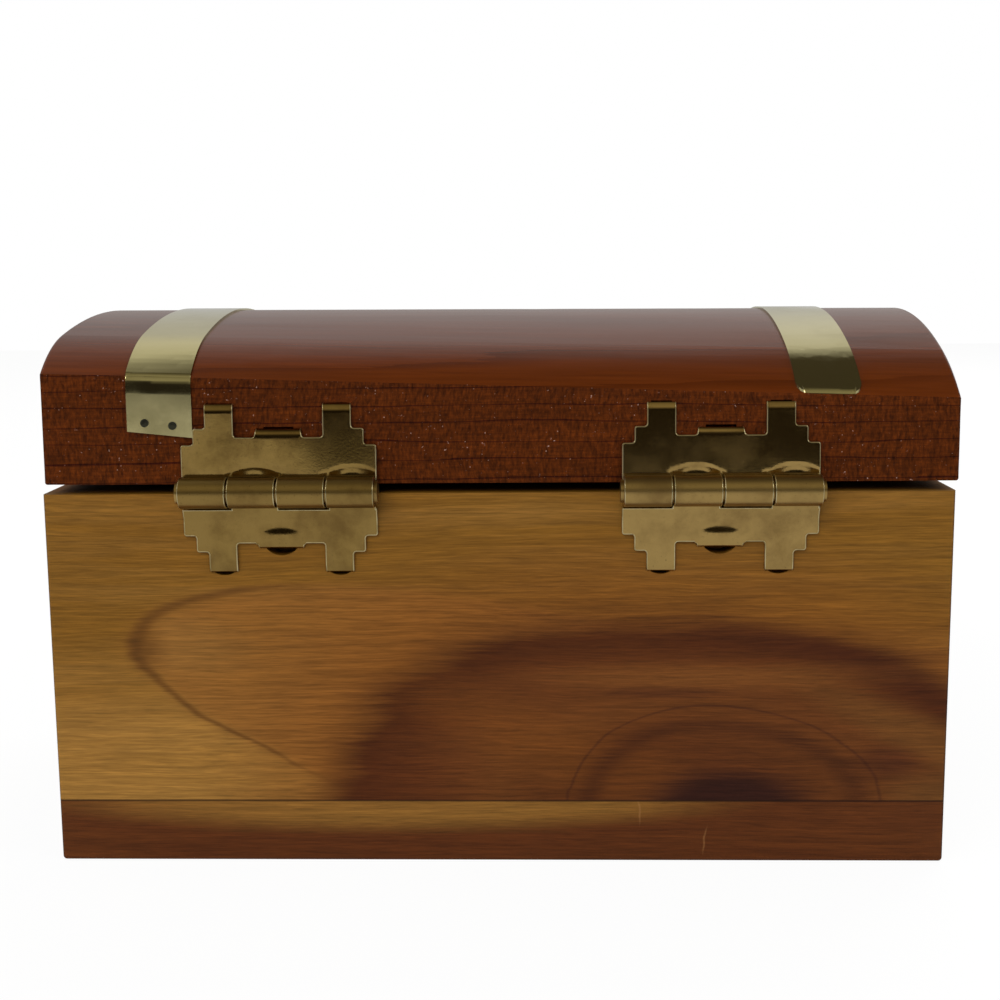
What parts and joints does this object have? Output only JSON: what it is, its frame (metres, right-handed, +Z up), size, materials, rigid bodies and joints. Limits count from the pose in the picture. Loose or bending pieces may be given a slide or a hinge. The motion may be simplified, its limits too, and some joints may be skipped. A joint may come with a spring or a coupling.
{
  "type": "treasure chest box",
  "caption": "Small cedar treasure chest with a barrel lid on two stamped sheet hinges, metal straps over the lid, and a front hasp and staple.",
  "frame": {"origin": "middle of the flat face under the bottom board, on which the chest stands", "axes": "+Z up, -Y towards the front with the hasp, +Y towards the hinges, +X to the right seen from the front"},
  "size_m": [0.1337, 0.0957, 0.0825],
  "materials": {
    "body_cedar": "satin",
    "bottom_cedar": "satin",
    "lid_cedar": "gloss varnish",
    "strap_metal": "polished",
    "hinge_brass": "tarnished",
    "steel_wire": "brass washed"
  },
  "bodies": {
    "chest_body": {"back_panel": "body_cedar", "front_panel": "body_cedar", "left_end_panel": "body_cedar", "right_end_panel": "body_cedar", "bottom_board": "bottom_cedar", "bottom_brads": "steel_wire", "left_hinge_body_leaf": "hinge_brass", "left_hinge_pin": "steel_wire", "right_hinge_body_leaf": "hinge_brass", "right_hinge_pin": "steel_wire", "staple_plate": "hinge_brass", "staple_loop": "hinge_brass"},
    "lid": {"lid_board": "lid_cedar", "left_strap": "strap_metal", "right_strap": "strap_metal", "strap_nails": "steel_wire", "left_hinge_lid_leaf": "hinge_brass", "right_hinge_lid_leaf": "hinge_brass", "hasp_plate": "hinge_brass", "hasp_pin": "steel_wire"},
    "hasp": {"hasp_flap": "hinge_brass"}
  },
  "joints": [
    {"name": "lid_hinge", "type": "hinge", "parent": "chest_body", "child": "lid", "pos_m": [0, 0.04387, 0.05695], "axis": [-1, 0, 0], "range_deg": [0, 190]},
    {"name": "hasp_hinge", "type": "hinge", "parent": "lid", "child": "hasp", "pos_m": [0, -0.04341, 0.05841], "axis": [1, 0, 0], "range_deg": [0, 188]}
  ]
}
